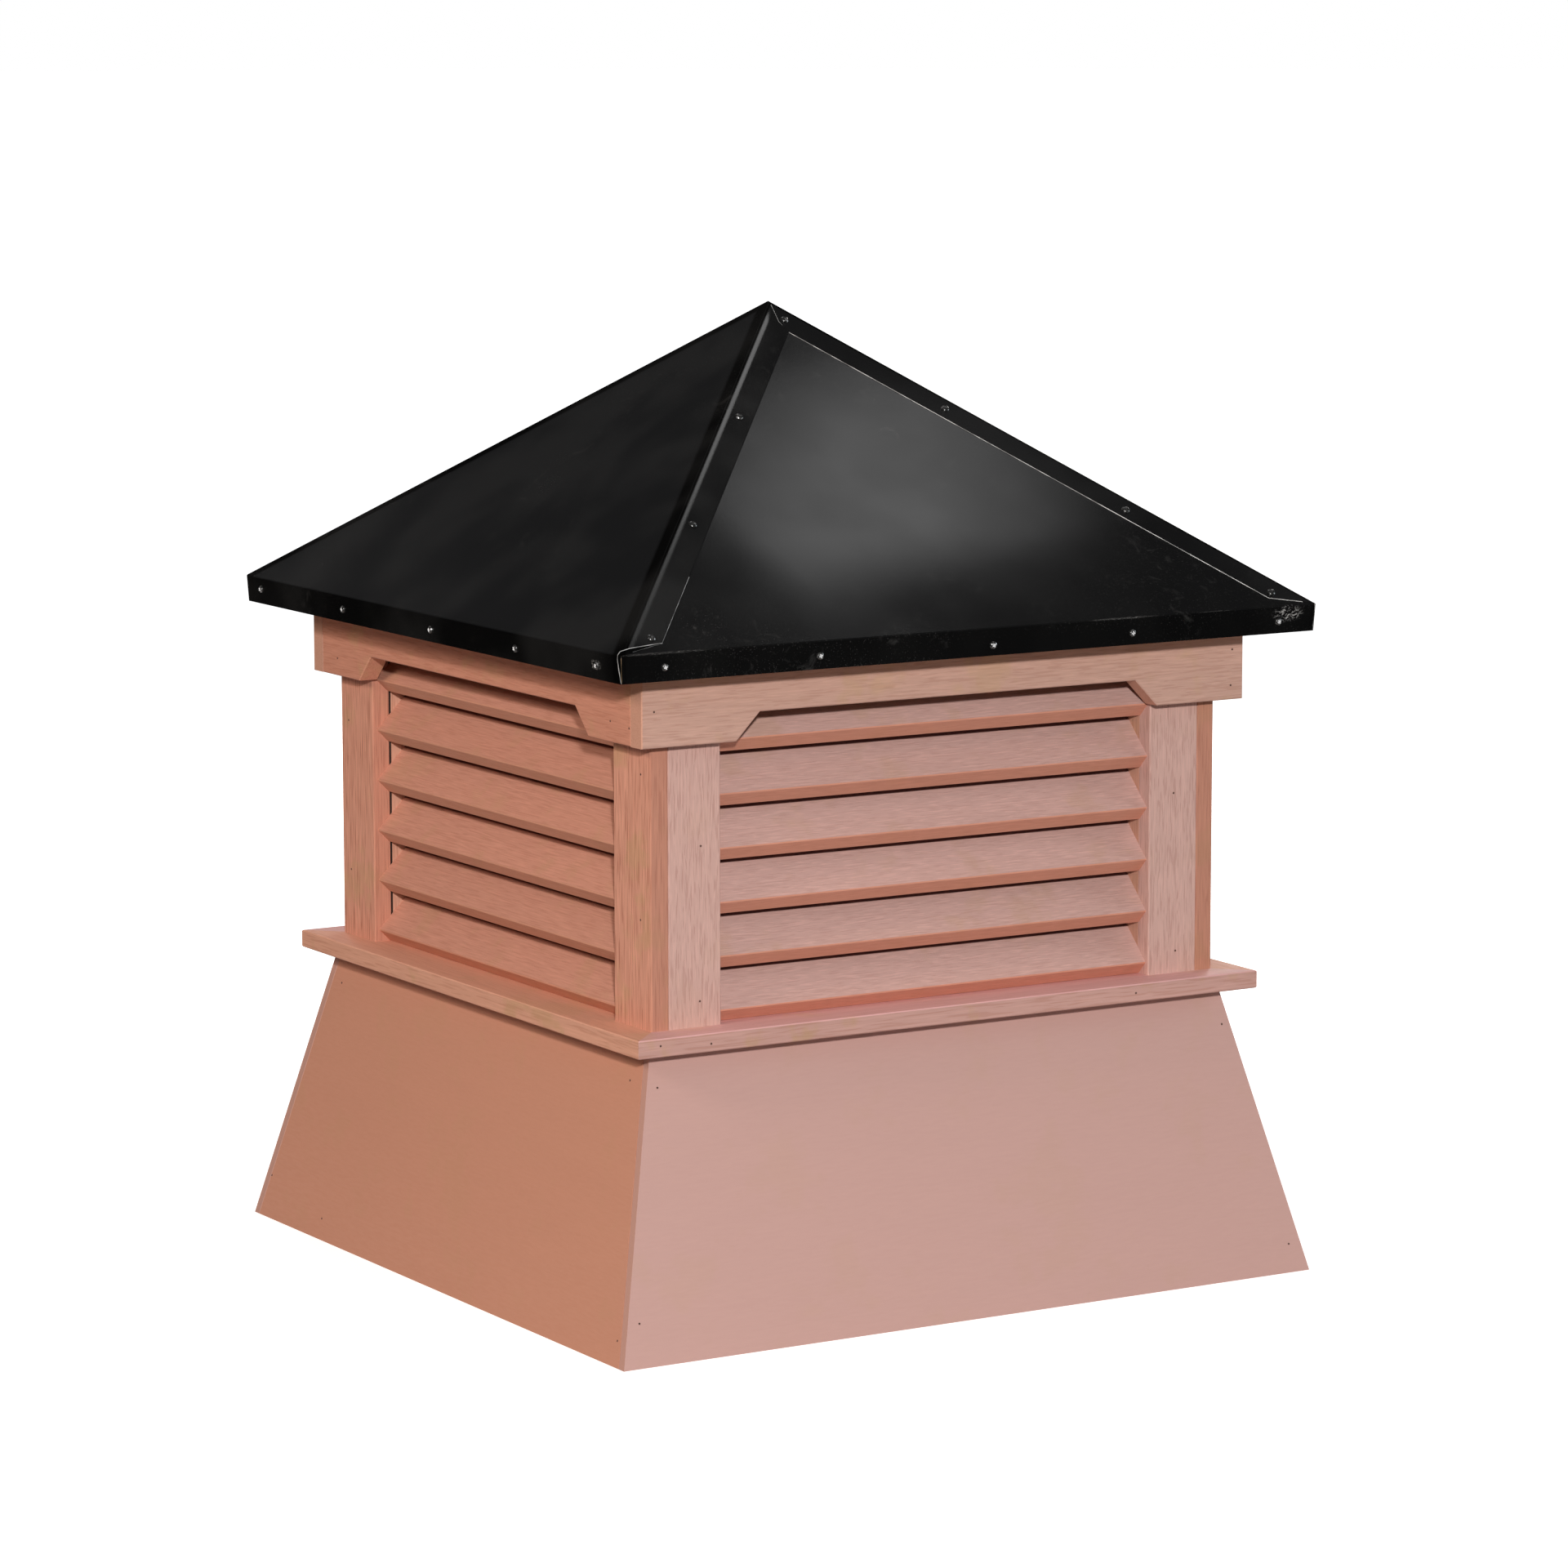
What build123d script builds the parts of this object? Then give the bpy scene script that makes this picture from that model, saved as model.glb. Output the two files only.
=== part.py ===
"""Louvred roof cupola: flared base, louvred box with an arched frieze, black sheet-metal hip roof.

Millimetres, +Z up, origin on the ground under the middle of the base. The front faces -Y.
"""
import os
from math import cos, radians, sin, tan

from build123d import *

os.makedirs("parts", exist_ok=True)

# ---- base: four panels that lean in to the sill ----
base_width = 914.4              # across the bottom edge
base_top_width = 757.6          # across the top edge, under the sill
base_height = 330.3
base_panel_thickness = 12.3     # measured level
corner_block_size = 38.0        # square block in each inside corner

# ---- sill: flat boards on top of the base ----
sill_width = 822.0              # over the sill, edge to edge
sill_thickness = 20.6
sill_board_width = 89.0

# ---- louvred box ----
box_width = 745.8               # over the faces of the corner boards
box_height = 399.1              # from the sill to the soffit
corner_board_thickness = 22.2
face_board_width = 66.0         # faces front or back, beside the edge of a side board
side_board_width = 82.0         # faces left or right
stile_thickness = 18.0          # sticks behind the corner boards that carry the slats
stile_depth = 41.0
slat_count = 6
slat_pitch = 60.1
slat_width = 63.5
slat_thickness = 22.2
slat_angle = 45.0
slat_setback = 5.0              # nose of a slat behind the face of the corner boards
slat_first_nose = 14.4          # top of the lowest nose above the sill; that slat is planed flat below
slat_foot = 0.3                 # planed face of the bottom slat above the sill

# ---- frieze: arched boards at the head of the box ----
frieze_thickness = 24.0
frieze_drop = 82.6              # from the soffit down to the feet of the arch
frieze_foot_width = 119.0
arch_rise = 31.0
arch_shoulder = 30.0            # level run of each slanted shoulder

# ---- roof ----
roof_width = 911.4              # over the eave folds
roof_pitch = 36.43
drip_height = 31.0              # flange below the eave fold
drip_lean = 1.7                 # the flange leans in by this much at its lower edge
drip_overhang = 1.7             # lower edge of the flange below the soffit
sheet_thickness = 1.0
lap_width = 36.0                # flange folded over the hip, measured square to the hip
lap_end_height = 8.5            # its free corner above the eave fold, cut from there to the eave corner
lap_sheet_clearance = 0.5       # front and back sheets stop this far inside the side sheets
roof_board_thickness = 12.0
soffit_thickness = 19.0
soffit_board_width = 114.0

edge_easing = 1.2               # sawn edges that show are taken off by this much

# ---- what follows from them ----
base_half = base_width / 2
base_top_half = base_top_width / 2
sill_top = base_height + sill_thickness
sill_half = sill_width / 2
post_half = box_width / 2
post_inner = post_half - corner_board_thickness
face_opening_half = post_inner - face_board_width
side_opening_half = post_half - side_board_width
frieze_half = post_half + frieze_thickness
soffit_bottom = sill_top + box_height
soffit_top = soffit_bottom + soffit_thickness
drip_bottom = soffit_bottom - drip_overhang
eave_half = roof_width / 2
eave_height = drip_bottom + drip_height
pitch = radians(roof_pitch)
apex_height = eave_height + eave_half * tan(pitch)
soffit_half = eave_half - sheet_thickness - drip_lean
fold_radius = 2 * sheet_thickness
reach = 2 * base_width

# each side is named for the way it faces; up is +Z in all of these planes
outward = {"front": (0, -1, 0), "back": (0, 1, 0), "left": (-1, 0, 0), "right": (1, 0, 0)}
corners = {"front_left": (-1, -1), "front_right": (1, -1), "back_left": (-1, 1), "back_right": (1, 1)}
outward_axis = {}
section = {}
elevation = {}
plan = {}
opening_half = {}
for side, out in outward.items():
    along = (-out[1], out[0], 0)
    outward_axis[side] = Axis((0, 0, 0), out)
    section[side] = Plane(origin=(0, 0, 0), x_dir=out, z_dir=(out[1], -out[0], 0))
    elevation[side] = Plane(origin=(0, 0, 0), x_dir=along, z_dir=out)
    plan[side] = Plane(origin=(0, 0, 0), x_dir=along, z_dir=(0, 0, 1))
    opening_half[side] = face_opening_half if side in ("front", "back") else side_opening_half

pieces = {}


def mitre_wedge(side):
    """All that lies between the two diagonals on one side, in plan, for mitred corners."""
    with BuildPart() as wedge:
        with BuildSketch(plan[side].offset(-reach)):
            with BuildLine():
                Polyline((0, 0), (-reach, -reach), (reach, -reach), close=True)
            make_face()
        extrude(amount=2 * reach)
    return wedge.part


def mitred_board(side, outer, width, bottom, thickness, easing):
    """A flat board of one side of a square frame, mitred at both ends."""
    with BuildPart() as board:
        with BuildSketch(section[side]) as board_section:
            with Locations((outer - width / 2, bottom + thickness / 2)):
                Rectangle(width, thickness)
            if easing:
                chamfer(board_section.vertices().group_by(Axis.X)[-1], easing)
        extrude(amount=outer, both=True)
        add(mitre_wedge(side), mode=Mode.INTERSECT)
    return board.part


# ---- base: front and back panels run out over the edges of the left and right ones ----
for side in outward:
    outer_pair = side in ("front", "back")
    across = "left" if outer_pair else "front"
    end_inset = 0.0 if outer_pair else base_panel_thickness
    bottom_end = base_half - end_inset
    top_end = base_top_half - end_inset
    with BuildPart() as base_panel:
        with BuildSketch(section[side]):
            with BuildLine():
                Polyline(
                    (base_half, 0),
                    (base_top_half, base_height),
                    (base_top_half - base_panel_thickness, base_height),
                    (base_half - base_panel_thickness, 0),
                    close=True,
                )
            make_face()
        extrude(amount=base_half, both=True)
        with BuildSketch(section[across]):
            with BuildLine():
                Polyline(
                    (-bottom_end, 0),
                    (-top_end, base_height),
                    (top_end, base_height),
                    (bottom_end, 0),
                    close=True,
                )
            make_face()
        extrude(amount=base_half, both=True, mode=Mode.INTERSECT)
        if outer_pair:
            weather_face = base_panel.faces().sort_by(SortBy.AREA)[-1]
            chamfer(weather_face.edges().filter_by(Plane.XY, reverse=True), edge_easing)
    pieces[f"base_panel_{side}"] = base_panel.part

block_foot = base_half - base_panel_thickness - corner_block_size / 2
block_head = base_top_half - base_panel_thickness - corner_block_size / 2
for corner, (sx, sy) in corners.items():
    with BuildPart() as corner_block:
        with BuildSketch(Plane.XY):
            with Locations((sx * block_foot, sy * block_foot)):
                Rectangle(corner_block_size, corner_block_size)
        with BuildSketch(Plane.XY.offset(base_height)):
            with Locations((sx * block_head, sy * block_head)):
                Rectangle(corner_block_size, corner_block_size)
        loft(ruled=True)
    pieces[f"base_corner_block_{corner}"] = corner_block.part

# ---- sill ----
for side in outward:
    pieces[f"sill_board_{side}"] = mitred_board(
        side, sill_half, sill_board_width, base_height, sill_thickness, edge_easing
    )

# ---- corner boards: a wide board on each side, a narrower one beside it in front ----
for corner, (sx, sy) in corners.items():
    with BuildPart() as side_board:
        with BuildSketch(Plane.XY.offset(sill_top)):
            with Locations((
                sx * (post_half - corner_board_thickness / 2),
                sy * (post_half - side_board_width / 2),
            )):
                Rectangle(corner_board_thickness, side_board_width)
        extrude(amount=box_height)
        chamfer(side_board.edges().filter_by(Axis.Z), edge_easing)
    with BuildPart() as face_board:
        with BuildSketch(Plane.XY.offset(sill_top)):
            with Locations((
                sx * (post_inner - face_board_width / 2),
                sy * (post_half - corner_board_thickness / 2),
            )):
                Rectangle(face_board_width, corner_board_thickness)
        extrude(amount=box_height)
        chamfer(face_board.edges().filter_by(Axis.Z), edge_easing)
    pieces[f"corner_side_board_{corner}"] = side_board.part
    pieces[f"corner_face_board_{corner}"] = face_board.part

# ---- louvres: sloping slats between two stiles; the profile starts at the top of the nose ----
slat_cos = cos(radians(slat_angle))
slat_sin = sin(radians(slat_angle))
slat_profile = []
for up_slope, into_board in (
    (edge_easing, 0),
    (slat_width, 0),
    (slat_width, slat_thickness),
    (edge_easing, slat_thickness),
    (0, slat_thickness - edge_easing),
    (0, edge_easing),
):
    slat_profile.append((
        -up_slope * slat_cos - into_board * slat_sin,
        up_slope * slat_sin - into_board * slat_cos,
    ))
slat_noses = [
    (post_half - slat_setback, sill_top + slat_first_nose + n * slat_pitch) for n in range(slat_count)
]
for side in outward:
    stile_centre = opening_half[side] + stile_thickness / 2
    with BuildPart() as stiles:
        with BuildSketch(plan[side].offset(sill_top)):
            with Locations((0, stile_depth / 2 - post_inner)):
                with GridLocations(2 * stile_centre, 0, 2, 1):
                    Rectangle(stile_thickness, stile_depth)
        extrude(amount=box_height)
        add(mitre_wedge(side), mode=Mode.INTERSECT)
    pieces[f"louvre_stiles_{side}"] = stiles.part
    with BuildPart() as slats:
        with BuildSketch(section[side]):
            with Locations(*slat_noses):
                Polygon(*slat_profile, align=None)
            with Locations((post_half, sill_top + slat_foot)):
                Rectangle(2 * slat_width, slat_thickness, align=(Align.CENTER, Align.MAX), mode=Mode.SUBTRACT)
        extrude(amount=opening_half[side], both=True)
        add(mitre_wedge(side), mode=Mode.INTERSECT)
    pieces[f"louvre_slats_{side}"] = slats.part

# ---- frieze: front and back boards cover the ends of the left and right ones ----
arch_half = frieze_half - frieze_foot_width
foot_level = soffit_bottom - frieze_drop
for side in outward:
    end = frieze_half if side in ("front", "back") else post_half
    with BuildPart() as frieze_board:
        with BuildSketch(elevation[side].offset(post_half)):
            with BuildLine():
                Polyline(
                    (-end, soffit_bottom),
                    (-end, foot_level),
                    (-arch_half, foot_level),
                    (-arch_half + arch_shoulder, foot_level + arch_rise),
                    (arch_half - arch_shoulder, foot_level + arch_rise),
                    (arch_half, foot_level),
                    (end, foot_level),
                    (end, soffit_bottom),
                    close=True,
                )
            make_face()
        extrude(amount=frieze_thickness)
        weather_face = frieze_board.faces().sort_by(outward_axis[side])[-1]
        chamfer(weather_face.edges().sort_by(Axis.Z)[:-1], edge_easing)
    pieces[f"frieze_board_{side}"] = frieze_board.part


# ---- roof ----
def roof_hull(front_inset, side_inset, bottom):
    """Solid hip roof down to a level, its front and back and its two sides pushed in."""
    with BuildPart() as hull:
        for profile_plane, inset, mode in (
            (section["right"], side_inset, Mode.ADD),
            (section["back"], front_inset, Mode.INTERSECT),
        ):
            top = apex_height - inset / cos(pitch)
            half = eave_half - inset
            fold = top - half * tan(pitch)
            foot = half - drip_lean * (fold - bottom) / drip_height
            with BuildSketch(profile_plane):
                with BuildLine():
                    Polyline(
                        (-foot, bottom),
                        (-half, fold),
                        (0, top),
                        (half, fold),
                        (foot, bottom),
                        close=True,
                    )
                make_face()
            extrude(amount=base_width, both=True, mode=mode)
    return hull.part


for side in outward:
    pieces[f"soffit_board_{side}"] = mitred_board(
        side, soffit_half, soffit_board_width, soffit_bottom, soffit_thickness, 0
    )

board_inset = sheet_thickness + roof_board_thickness
board_outside = roof_hull(sheet_thickness, sheet_thickness, soffit_top)
board_inside = roof_hull(board_inset, board_inset, soffit_bottom)
for side in outward:
    with BuildPart() as roof_board:
        add(board_outside)
        add(board_inside, mode=Mode.SUBTRACT)
        add(mitre_wedge(side), mode=Mode.INTERSECT)
    pieces[f"roof_board_{side}"] = roof_board.part

# front and back sheets lie under the laps
sheet_under = roof_hull(0, sheet_thickness + lap_sheet_clearance, drip_bottom)
sheet_under_hollow = roof_hull(sheet_thickness, 0, drip_bottom - drip_height)
for side in ("front", "back"):
    with BuildPart() as roof_panel:
        add(sheet_under)
        add(sheet_under_hollow, mode=Mode.SUBTRACT)
        add(mitre_wedge(side), mode=Mode.INTERSECT)
        eave_fold = roof_panel.edges().sort_by(outward_axis[side])[-1]
        fillet(eave_fold, fold_radius)
    pieces[f"roof_panel_{side}"] = roof_panel.part

# left and right sheets are folded over the hips onto the front and back ones
hip_length = (2 * eave_half**2 + (eave_half * tan(pitch)) ** 2) ** 0.5
hip_sine = (1 - (eave_half / hip_length) ** 2) ** 0.5       # of the angle from hip to eave
lap_reach = lap_width / hip_sine                            # along the eave
lap_end = eave_half - lap_end_height / tan(pitch)
with BuildPart() as wrapped_sheet:
    add(roof_hull(-sheet_thickness, 0, drip_bottom))
    fillet(wrapped_sheet.edges().sort_by(SortBy.LENGTH).filter_by(Plane.XY, reverse=True)[-4:], fold_radius)
    add(roof_hull(0, sheet_thickness, drip_bottom - drip_height), mode=Mode.SUBTRACT)
with BuildPart() as right_sheet:
    add(wrapped_sheet.part)
    add(mitre_wedge("right"), mode=Mode.INTERSECT)
    fillet(right_sheet.edges().sort_by(Axis.X)[-1], fold_radius)
with BuildPart() as front_lap:
    add(wrapped_sheet.part)
    with BuildSketch(Plane.XY.offset(eave_height)):
        with BuildLine():
            Polyline(
                (0, 0),
                (eave_half, -eave_half),
                (lap_end - lap_reach, -lap_end),
                (0, -lap_reach),
                close=True,
            )
        make_face()
    extrude(amount=reach, mode=Mode.INTERSECT)
with BuildPart() as roof_panel_right:
    add(right_sheet.part)
    add(front_lap.part)
    mirror(front_lap.part, about=Plane.XZ)
with BuildPart() as roof_panel_left:
    mirror(roof_panel_right.part, about=Plane.YZ)
pieces["roof_panel_right"] = roof_panel_right.part
pieces["roof_panel_left"] = roof_panel_left.part

for name, piece in pieces.items():
    piece.label = name
    export_step(piece, f"parts/{name}.step")
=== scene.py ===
import math
from functools import partial

import bmesh
import bpy
from mathutils import Matrix, Vector


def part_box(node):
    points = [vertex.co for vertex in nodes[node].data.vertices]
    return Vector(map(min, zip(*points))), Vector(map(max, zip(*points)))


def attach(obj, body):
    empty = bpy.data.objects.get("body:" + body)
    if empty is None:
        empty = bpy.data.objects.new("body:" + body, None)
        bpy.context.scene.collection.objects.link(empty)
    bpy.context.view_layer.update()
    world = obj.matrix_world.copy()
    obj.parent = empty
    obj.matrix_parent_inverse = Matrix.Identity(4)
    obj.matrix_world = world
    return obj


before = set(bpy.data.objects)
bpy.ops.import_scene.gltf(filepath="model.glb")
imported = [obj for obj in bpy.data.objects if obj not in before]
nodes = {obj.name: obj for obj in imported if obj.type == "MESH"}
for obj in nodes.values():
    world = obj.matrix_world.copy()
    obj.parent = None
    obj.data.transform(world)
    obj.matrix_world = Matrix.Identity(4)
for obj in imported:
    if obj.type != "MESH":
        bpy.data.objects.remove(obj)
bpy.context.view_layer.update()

# ---------------------------------------------------------------------------------------------
# Flared base panels.
# Four sheets of sanded exterior plywood under a thin cedar-toned stain, nearly smooth. The front
# and back sheets run out over the edges of the side ones, so their sawn plies show at the corners.
# ---------------------------------------------------------------------------------------------


def effect_group(name, takes, gives):
    """An empty shader node group and its own sockets: floats, vectors or colours, as their values are."""
    tree = bpy.data.node_groups.new(name, "ShaderNodeTree")
    for way, sockets in (("INPUT", takes), ("OUTPUT", gives)):
        for socket, value in sockets.items():
            kind = "Float" if isinstance(value, float) else "Vector" if len(value) == 3 else "Color"
            made = tree.interface.new_socket(name=socket, in_out=way, socket_type="NodeSocket" + kind)
            made.default_value = value
    return tree, tree.nodes.new("NodeGroupInput").outputs, tree.nodes.new("NodeGroupOutput").inputs


def lay(tree, kind, feeds=None, **settings):
    """One node in a tree: its settings, and what feeds each of its sockets."""
    node = tree.nodes.new(kind)
    for key, value in settings.items():
        setattr(node, key, value)
    for socket, source in (feeds or {}).items():
        if isinstance(source, bpy.types.NodeSocket):
            tree.links.new(source, node.inputs[socket])
        else:
            node.inputs[socket].default_value = source
    return node


def blend_colours(tree, share, first, second, way="MIX"):
    """The first colour, with that share of the second over it."""
    mixed = lay(tree, "ShaderNodeMix", {0: share, 6: first, 7: second}, data_type="RGBA", blend_type=way)
    return mixed.outputs[2]


def brighten(tree, colour, share):
    """A colour made paler or darker by a share."""
    return lay(tree, "ShaderNodeVectorMath", {0: colour, "Scale": share}, operation="SCALE").outputs[0]


def between(tree, value, low, high, to_low=0.0, to_high=1.0):
    """A soft step from one value to another while the input goes from low to high."""
    spans = {"Value": value, "From Min": low, "From Max": high, "To Min": to_low, "To Max": to_high}
    return lay(tree, "ShaderNodeMapRange", spans, interpolation_type="SMOOTHSTEP").outputs["Result"]


def figure(tree, operation, first, *others):
    """A sum on one value, or on a row of them from left to right."""
    for other in others or (0.0,):
        first = lay(tree, "ShaderNodeMath", {0: first, 1: other}, operation=operation).outputs[0]
    return first


def noise(tree, place, scale, detail, roughness=0.5, distortion=0.0):
    """Smooth noise about one half."""
    feeds = {"Vector": place, "Scale": scale, "Detail": detail, "Roughness": roughness}
    return lay(tree, "ShaderNodeTexNoise", {**feeds, "Distortion": distortion}).outputs["Fac"]


def new_material(name):
    """A material with an empty tree, and the place on the object in it."""
    material = bpy.data.materials.new(name)
    material.use_nodes = True
    tree = material.node_tree
    tree.nodes.clear()
    return material, tree, lay(tree, "ShaderNodeTexCoord").outputs["Object"]


def close_material(tree, feeds):
    """The material's one shader and its output."""
    shader = lay(tree, "ShaderNodeBsdfPrincipled", feeds)
    lay(tree, "ShaderNodeOutputMaterial", {"Surface": shader.outputs[0]})


def tone(red, green, blue):
    """A stain colour as the eye names it, 0 to 255, made linear."""
    return tuple(
        (v / 255 / 12.92) if v / 255 <= 0.04045 else ((v / 255 + 0.055) / 1.055) ** 2.4
        for v in (red, green, blue)
    ) + (1.0,)


def make_stain_grain():
    """Stain soaked into wood: fine dark and pale lines along the grain, flecks, broad bands, tan patches."""
    tree, took, gave = effect_group(
        "stain_in_the_grain",
        {
            "Place": (0.0, 0.0, 0.0),
            "Along Grain": (0.0, 0.0, 0.0),
            "Stain": (0.5, 0.3, 0.2, 1.0),
            "Deep Stain": (0.3, 0.15, 0.1, 1.0),
            "Tan": (0.4, 0.3, 0.18, 1.0),
            "Dark Lines": 0.4,
            "Pale Lines": 0.4,
            "Bands": 0.2,
            "Tan Share": 0.3,
        },
        {"Colour": (0.0, 0.0, 0.0, 1.0), "Roughness": 0.5, "Height": 0.0},
    )
    lines = noise(tree, took["Along Grain"], 1.0, 1.5, distortion=0.25)
    flecks = noise(tree, took["Along Grain"], 0.55, 1.0, distortion=0.6)
    bands = noise(tree, took["Along Grain"], 0.14, 2.0)
    cloud = noise(tree, took["Place"], 13.0, 3.0, roughness=0.65)
    dark_line = between(tree, lines, 0.55, 0.64)
    either = figure(tree, "MAXIMUM", dark_line, between(tree, flecks, 0.66, 0.71))
    dark = figure(tree, "MULTIPLY", either, took["Dark Lines"])
    lined = blend_colours(tree, dark, took["Stain"], took["Deep Stain"])
    patch = figure(tree, "MULTIPLY", between(tree, cloud, 0.53, 0.66), took["Tan Share"])
    tanned = blend_colours(tree, patch, lined, took["Tan"])
    swell = figure(tree, "MULTIPLY", figure(tree, "SUBTRACT", bands, 0.5), took["Bands"])
    glint = figure(tree, "MULTIPLY", between(tree, lines, 0.45, 0.36), took["Pale Lines"], 0.2)
    toned = brighten(tree, tanned, figure(tree, "ADD", swell, glint, 1.0))
    tree.links.new(toned, gave["Colour"])
    tree.links.new(between(tree, lines, 0.3, 0.7, 0.50, 0.64), gave["Roughness"])
    tree.links.new(figure(tree, "SUBTRACT", bands, dark_line), gave["Height"])
    return tree


def make_sawn_face():
    """A sawn face of a board, told from its planed faces by the way it looks out."""
    tree, took, gave = effect_group(
        "sawn_face",
        {"Facing": (0.0, 0.0, 1.0), "Looks Out": (0.0, 1.0, 0.0), "Other End Too": 0.0},
        {"Mask": 0.0},
    )
    ways = {0: took["Facing"], 1: took["Looks Out"]}
    aligned = lay(tree, "ShaderNodeVectorMath", ways, operation="DOT_PRODUCT").outputs["Value"]
    turned = figure(tree, "MULTIPLY", aligned, -1.0, took["Other End Too"])
    looking = figure(tree, "MAXIMUM", aligned, turned)
    kept = lay(tree, "ShaderNodeMapRange", {"Value": looking, "From Min": 0.55, "From Max": 0.70})
    tree.links.new(kept.outputs["Result"], gave["Mask"])
    return tree


stain_grain = make_stain_grain()
sawn_face = make_sawn_face()


def stained_wood(
    name, grain, stain, deep, tan, lines=(0.4, 0.4), line_size=(0.05, 0.0023), bands=0.2, tan_share=0.3,
    relief=0.4, sawn=None, both_ends=False, sawn_and_light_tone=(1, 1, 1, 1), marks=(),
):
    """Stained timber with its grain along x, y or z.

    lines says how strong its dark and pale lines are, line_size how long and how wide, sawn which way
    its sawn faces look, and marks are functions that each put something over its colour. The faces that
    sawn picks are toned by a multiplier: stain on end grain, painted light on the sill's top faces, and
    both on the slats' lips.
    """
    material, tree, place = new_material(name)
    run = [1 / line_size[0] if axis == grain else 1 / line_size[1] for axis in "xyz"]
    drawn = lay(tree, "ShaderNodeMapping", {"Vector": place, "Scale": run})
    stained = lay(
        tree,
        "ShaderNodeGroup",
        {
            "Place": place,
            "Along Grain": drawn.outputs[0],
            "Stain": stain,
            "Deep Stain": deep,
            "Tan": tan,
            "Dark Lines": lines[0],
            "Pale Lines": lines[1],
            "Bands": bands,
            "Tan Share": tan_share,
        },
        node_tree=stain_grain,
    )
    colour = stained.outputs["Colour"]
    for mark in marks:
        colour = mark(tree, place, colour)
    if sawn:
        ways = {"Facing": place.node.outputs["Normal"], "Looks Out": sawn, "Other End Too": float(both_ends)}
        cut = lay(tree, "ShaderNodeGroup", ways, node_tree=sawn_face)
        # The picked faces are evened and multiplied by a tone: end-grain stain, and painted light on the sill
        # tops and slat lips.
        evened = blend_colours(tree, 0.5, colour, stain)
        end_stain_and_light = blend_colours(tree, 1.0, evened, sawn_and_light_tone, "MULTIPLY")
        colour = blend_colours(tree, cut.outputs["Mask"], colour, end_stain_and_light)
    rise = {"Strength": relief, "Distance": 0.0003, "Height": stained.outputs["Height"]}
    close_material(
        tree,
        {
            "Base Color": colour,
            "Roughness": stained.outputs["Roughness"],
            "Normal": lay(tree, "ShaderNodeBump", rise).outputs[0],
            "Specular IOR Level": 0.3,
        },
    )
    return material


def wear(material, *names):
    """Gives CAD nodes their finish."""
    for name in names:
        slots = nodes[name].data.materials
        slots.clear()
        slots.append(material)


sanded_ply = {"lines": (0.05, 0.05), "line_size": (0.02, 0.003), "tan_share": 0.16, "relief": 0.03}
# The front and back panels take a paler, pinker copy of the stain than the side panels: painted light, the
# front faces toned as if they caught a cooler light and a sheen.
base_rose = stained_wood(
    "base_ply_front", "x", tone(201, 161, 153), tone(186, 142, 132), tone(194, 158, 134),
    bands=0.03, sawn=(1, 0, 0), both_ends=True, sawn_and_light_tone=(0.91, 0.82, 0.74, 1), **sanded_ply,
)
base_red = stained_wood(
    "base_ply_side", "y", tone(201, 143, 119), tone(180, 120, 97), tone(190, 146, 112),
    bands=0.04, **sanded_ply,
)
wear(base_rose, "base_panel_front", "base_panel_back")
wear(base_red, "base_panel_left", "base_panel_right")

# ---------------------------------------------------------------------------------------------
# Corner blocks inside the base.
# Square sawn sticks of plain softwood, left without stain, that the base panels are nailed to.
# ---------------------------------------------------------------------------------------------

bare_softwood = (tone(214, 180, 138), tone(176, 132, 88), tone(222, 192, 150))
raw_stick = stained_wood(
    "raw_softwood_upright", "z", *bare_softwood, lines=(0.5, 0.3), tan_share=0.4, relief=0.5,
)
for corner in ("front_left", "front_right", "back_left", "back_right"):
    wear(raw_stick, "base_corner_block_" + corner)

# ---------------------------------------------------------------------------------------------
# Sill.
# Four flat softwood boards mitred at the corners, laid on top of the base and overhanging it,
# stained like the rest with more tan in it, their top faces painted paler as light from above.
# ---------------------------------------------------------------------------------------------

# The front and back boards take a paler, pinker copy of the stain than the side ones: painted light, the
# front faces toned as if they caught a cooler light and a sheen. The sawn mask picks the top faces here, and
# their tone is painted light that lifts them to the brightness of the fronts.
sill_rose = stained_wood(
    "sill_board_front", "x", tone(199, 155, 145), tone(172, 120, 102), tone(190, 152, 116),
    lines=(0.35, 0.35), tan_share=0.60, relief=0.3, sawn=(0, 0, 1), sawn_and_light_tone=(1.28, 1.28, 1.44, 1),
)
sill_red = stained_wood(
    "sill_board_side", "y", tone(211, 156, 132), tone(176, 118, 94), tone(190, 150, 112),
    lines=(0.35, 0.35), tan_share=0.50, relief=0.3, sawn=(0, 0, 1), sawn_and_light_tone=(1.14, 1.15, 1.16, 1),
)
wear(sill_rose, "sill_board_front", "sill_board_back")
wear(sill_red, "sill_board_left", "sill_board_right")

# ---------------------------------------------------------------------------------------------
# Corner boards.
# Rough-sawn uprights, two to a corner: the wide one faces the side, and its sawn edge shows on
# the front beside the narrower board that is butted to it. Long fine grain from end to end.
# ---------------------------------------------------------------------------------------------

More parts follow.
